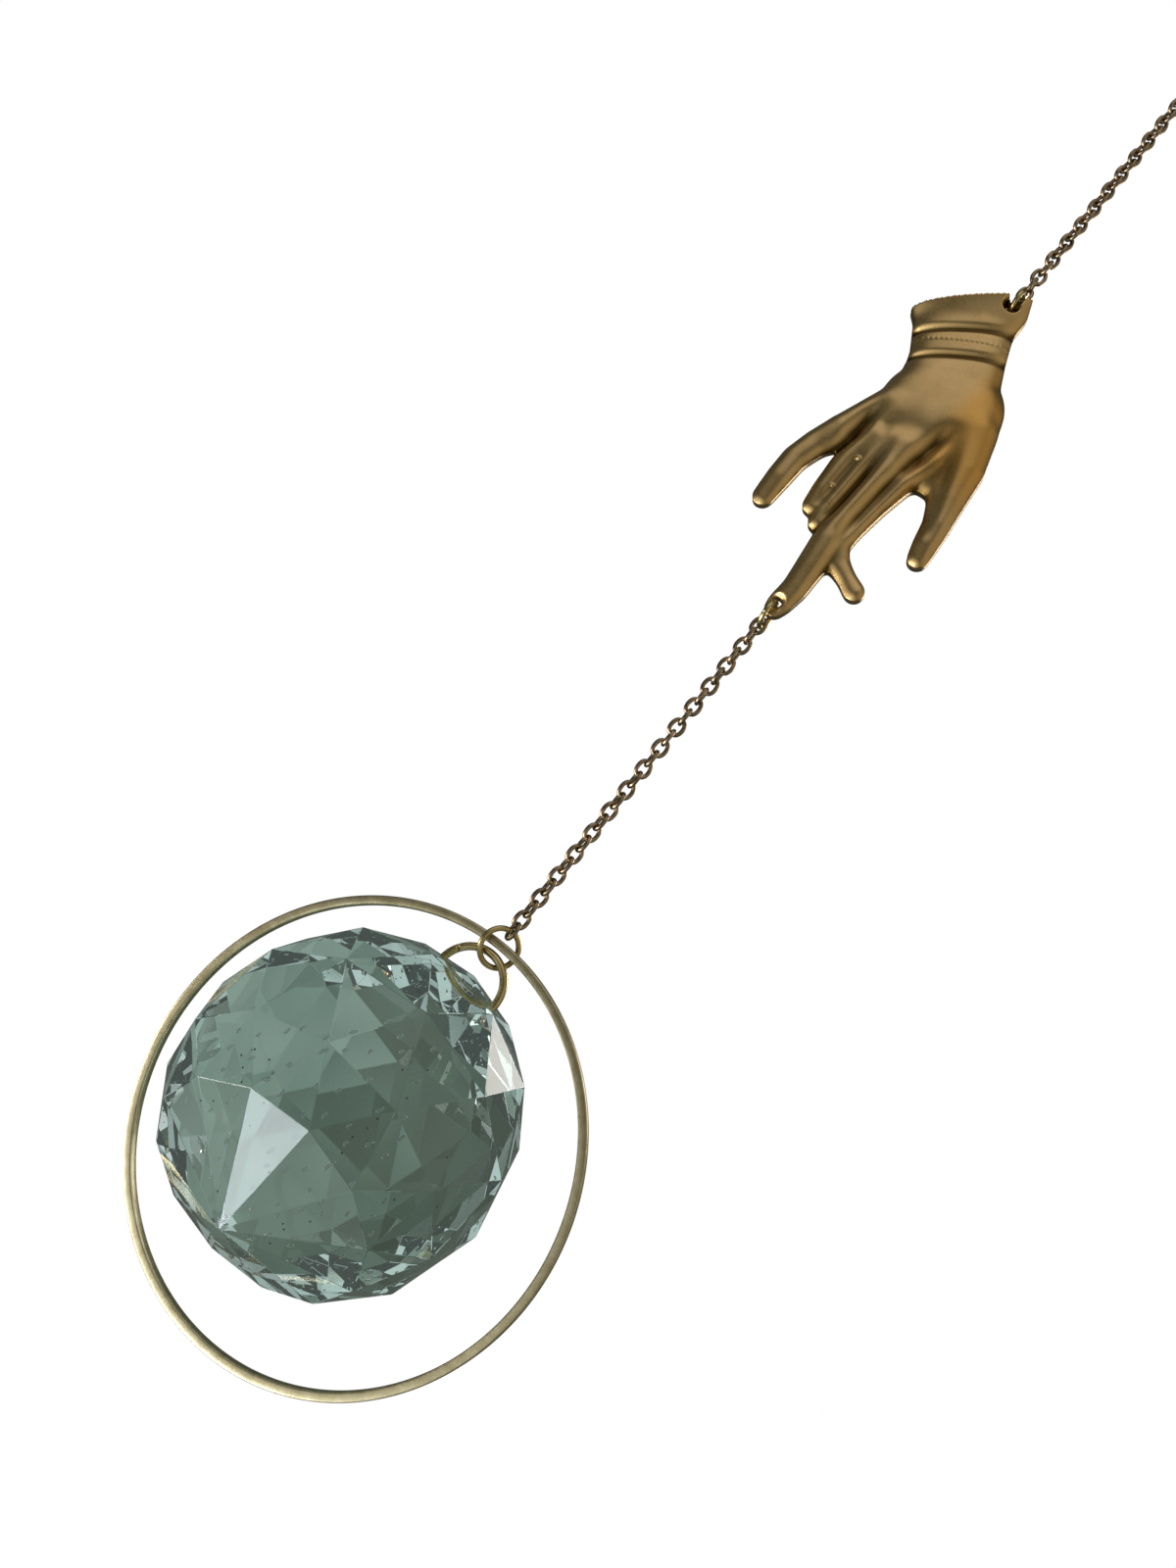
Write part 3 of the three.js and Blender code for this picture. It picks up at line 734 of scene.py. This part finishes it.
def hand_piece():
    xs, zs, inside, relief, hollow = hand_grid()
    cavity = np.clip((soften(relief, CAVITY_REACH) - relief) * CAVITY_GAIN, 0, 1)
    solid = inside > 0
    points, values, rim = [], [], []

    def sample(i, j):
        return np.array([xs[i], zs[j], relief[i, j], hollow[i, j], cavity[i, j]])

    corner_id = {}
    for i, j in np.argwhere(solid):
        corner_id[i, j] = len(points)
        points.append(sample(i, j))
        rim.append(False)
    edge_id = {}

    def edge_point(p, q):
        key = (p, q) if p < q else (q, p)
        if key not in edge_id:
            t = inside[p] / (inside[p] - inside[q])
            value = sample(*p) * (1 - t) + sample(*q) * t
            value[2] = min(value[2], HOLE_TAB)
            value[3] = 0.0
            edge_id[key] = len(points)
            points.append(value)
            rim.append(True)
        return edge_id[key]

    polys, walls = [], []
    near = solid[:-1, :-1] | solid[1:, :-1] | solid[1:, 1:] | solid[:-1, 1:]
    for i, j in np.argwhere(near):
        corners = [(i, j), (i + 1, j), (i + 1, j + 1), (i, j + 1)]
        poly = []
        for k in range(4):
            p, q = corners[k], corners[(k + 1) % 4]
            if solid[p]:
                poly.append(corner_id[p])
            if solid[p] != solid[q]:
                poly.append(edge_point(p, q))
        if len(poly) < 3:
            continue
        polys.append(poly)
        walls += [(a, b) for a, b in zip(poly, poly[1:] + poly[:1]) if rim[a] and rim[b]]
    x, z, rel, hol, cav = np.array(points).T
    count = len(x)
    front = np.stack([x, HAND_BACK - rel, z], 1)
    back = np.stack([x, HAND_BACK - hol, z], 1)
    faces = [tuple(p) for p in polys]
    faces += [tuple(count + v for v in reversed(p)) for p in polys]
    faces += [(b, a, count + a, count + b) for a, b in walls]
    at = Vector((0, 0, mm(centre("fingertip_ring")).z + JUMP_RING_RADIUS))
    obj = make("hand_charm_stamped", place(np.concatenate([front, back]), Matrix.Translation(at)), faces)
    aside = np_smooth((x - WARM_EDGE - WARM_SLOPE * (z - WARM_MIDDLE)) / WARM_FADE)
    above = np_smooth((z - WARM_LOW) / WARM_END_FADE)
    warm = aside * above * np_smooth((WARM_HIGH - z) / WARM_END_FADE)
    for name, painted, behind in (("cavity", cav, BACK_CAVITY), ("warm", WARM_SHARE * warm, 0.0)):
        attr = obj.data.attributes.new(name, "FLOAT", "POINT")
        attr.data.foreach_set("value", np.concatenate([painted, np.full(count, behind)]).astype(np.float32))
    finish_piece(obj, "hand_charm", satin_brass)


hand_piece()

# ---------------------------------------------------------------- floor and light

# Metres.
FLOOR_RADIUS, FLOOR_BELOW = 1.6, 0.5
FLOOR_GLOW = 0.85
# Shares of the floor's radius between which it fades out.
FLOOR_FADE = (0.15, 0.7)


def stage_floor():
    """A pale round floor well below the object, which fades out towards its edge."""
    steps, rings = 96, 24
    verts, faces = [(0, 0, 0)], []
    for r in range(1, rings + 1):
        reach = FLOOR_RADIUS * r / rings
        for k in range(steps):
            a = 2 * math.pi * k / steps
            verts.append((reach * math.cos(a), reach * math.sin(a), 0))
    for k in range(steps):
        faces.append((0, 1 + k, 1 + (k + 1) % steps))
        for r in range(rings - 1):
            a, b = 1 + r * steps, 1 + (r + 1) * steps
            faces.append((a + k, b + k, b + (k + 1) % steps, a + (k + 1) % steps))
    floor = make("floor", verts, faces)
    floor.location = (0, 0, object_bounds()[0][2] - FLOOR_BELOW)
    floor.visible_transmission = False
    floor.visible_glossy = False
    mat, n = new_material("floor_pale")
    out = n.add("ShaderNodeOutputMaterial")
    pale = n.add("ShaderNodeBsdfPrincipled", Roughness=0.8)
    pale.inputs["Base Color"].default_value = (0.9, 0.9, 0.9, 1)
    pale.inputs["Emission Color"].default_value = (1, 1, 1, 1)
    pale.inputs["Emission Strength"].default_value = FLOOR_GLOW
    clear = n.add("ShaderNodeBsdfTransparent")
    mix = n.add("ShaderNodeMixShader")
    tex = n.add("ShaderNodeTexCoord")
    length = n.add("ShaderNodeVectorMath", operation="LENGTH")
    n.link(tex, "Object", length, 0)
    start, end = (share * FLOOR_RADIUS for share in FLOOR_FADE)
    fade = remap(n, (length, "Value"), start, end, 0.0, 1.0, "SMOOTHSTEP")
    n.link(fade, "Result", mix, "Fac")
    n.link(pale, "BSDF", mix, 1)
    n.link(clear, "BSDF", mix, 2)
    n.link(mix, "Shader", out, "Surface")
    floor.data.materials.append(mat)


stage_floor()


def soft_panel(name, target, direction, distance, size, radiance, colour):
    """A square soft light that faces its target. It isn't seen through the glass, only on it."""
    data = bpy.data.lights.new(name, "AREA")
    data.shape = "SQUARE"
    data.size = size
    data.energy = radiance * math.pi * size * size
    data.color = colour
    light = bpy.data.objects.new(name, data)
    bpy.context.scene.collection.objects.link(light)
    light.location = target + direction.normalized() * distance
    light.rotation_euler = (-direction).to_track_quat("-Z", "Y").to_euler()
    light.visible_camera = False
    light.visible_transmission = False


WINDOW = Vector((-0.183, -0.549, -0.815))
CEILING = Vector((-0.22, -0.62, 0.75))
soft_panel(
    "window", centre("crystal_ball"), WINDOW,
    distance=0.45, size=0.22, radiance=11.0, colour=(0.86, 0.95, 1.0),
)
soft_panel(
    "hand_window", centre("hand_charm"), Vector((-0.62, -0.25, -0.74)),
    distance=0.30, size=0.13, radiance=9.0, colour=(1.0, 0.97, 0.88),
)
soft_panel(
    "back_light", centre("hand_charm"), Vector((0.5, 0.8, 0.5)),
    distance=0.5, size=0.25, radiance=5.0, colour=(1.0, 0.97, 0.9),
)


def lobe(n, source, direction, low, high, strength, colour):
    """A soft round patch of light in the surroundings."""
    dot = n.add("ShaderNodeVectorMath", operation="DOT_PRODUCT")
    dot.inputs[1].default_value = direction.normalized()
    n.link(source, "Generated", dot, 0)
    spread = remap(n, (dot, "Value"), low, high, 0.0, strength, "SMOOTHSTEP")
    light = n.add("ShaderNodeBackground")
    light.inputs["Color"].default_value = (*colour, 1)
    n.link(spread, "Result", light, "Strength")
    return light


def added(n, shaders):
    total = shaders[0]
    for shader in shaders[1:]:
        both = n.add("ShaderNodeAddShader")
        n.tree.links.new(total.outputs[0], both.inputs[0])
        n.tree.links.new(shader.outputs[0], both.inputs[1])
        total = both
    return total


# Soft patches: direction, cosines at the outer and inner edge, strength and colour.
ROOM_DIM = 0.10
ROOM_LOBES = [
    (CEILING, 0.80, 0.97, 0.66, (1.0, 0.97, 0.95)),
    (WINDOW, 0.50, 0.95, 0.85, (1.0, 0.98, 0.92)),
    (Vector((0.85, -0.3, 0.4)), 0.5, 1.0, 0.4, (1.0, 0.88, 0.65)),
]
# What the glass shows of the room behind it: dim grey-green, lighter on one side.
THROUGH_LIGHT = CAM_RIGHT - 0.6 * CAM_UP
THROUGH_STRENGTH, THROUGH_SPAN = 0.62, 0.6
CLOUD_SCALE, CLOUD_SPAN = 3.4, 0.4
THROUGH_TONES = [
    (0.0, (0.055, 0.08, 0.052)),
    (0.35, (0.095, 0.145, 0.11)),
    (0.65, (0.19, 0.29, 0.24)),
    (1.0, (0.33, 0.47, 0.41)),
]
THROUGH_LOBES = [
    (CAM_BACK, -0.55, 0.3, 0.36, (0.78, 0.93, 0.97)),
    (-CAM_RIGHT - 0.2 * CAM_UP, 0.93, 0.98, 0.9, (0.95, 0.97, 1.0)),
    (CAM_RIGHT + 0.5 * CAM_UP, 0.95, 0.985, 0.9, (0.95, 0.97, 1.0)),
]


def world_light():
    """White to the camera; the metal reflects a dim room, and the glass shows a graded one."""
    world = bpy.data.worlds.new("world")
    bpy.context.scene.world = world
    world.use_nodes = True
    n = Nodes(world.node_tree)
    out = n.add("ShaderNodeOutputWorld")
    tex = n.add("ShaderNodeTexCoord")
    white = n.add("ShaderNodeBackground", Strength=1.0)
    white.inputs["Color"].default_value = (1, 1, 1, 1)
    dim = n.add("ShaderNodeBackground", Strength=ROOM_DIM)
    dim.inputs["Color"].default_value = (0.9, 1.0, 0.85, 1)
    room = added(n, [dim] + [lobe(n, tex, *patch) for patch in ROOM_LOBES])
    dot = n.add("ShaderNodeVectorMath", operation="DOT_PRODUCT")
    dot.inputs[1].default_value = THROUGH_LIGHT.normalized()
    n.link(tex, "Generated", dot, 0)
    clouds = noise(n, (tex, "Generated"), CLOUD_SCALE, 2.0)
    drift = remap(n, (clouds, "Fac"), 0.3, 0.7, -CLOUD_SPAN, CLOUD_SPAN)
    both = n.add("ShaderNodeMath", operation="ADD")
    n.link(dot, "Value", both, 0)
    n.link(drift, "Result", both, 1)
    spread = remap(n, (both, "Value"), -THROUGH_SPAN, THROUGH_SPAN, 0.0, 1.0)
    shade = ramp(n, THROUGH_TONES)
    n.link(spread, "Result", shade, "Fac")
    beyond = n.add("ShaderNodeBackground", Strength=THROUGH_STRENGTH)
    n.link(shade, "Color", beyond, "Color")
    through = added(n, [beyond] + [lobe(n, tex, *patch) for patch in THROUGH_LOBES])
    path = n.add("ShaderNodeLightPath")
    inner = n.add("ShaderNodeMixShader")
    n.link(path, "Is Transmission Ray", inner, "Fac")
    n.tree.links.new(room.outputs[0], inner.inputs[1])
    n.tree.links.new(through.outputs[0], inner.inputs[2])
    mix = n.add("ShaderNodeMixShader")
    n.link(path, "Is Camera Ray", mix, "Fac")
    n.link(inner, "Shader", mix, 1)
    n.link(white, "Background", mix, 2)
    n.link(mix, "Shader", out, "Surface")


world_light()
# Plain colours, with no film curve.
bpy.context.scene.view_settings.view_transform = "Standard"
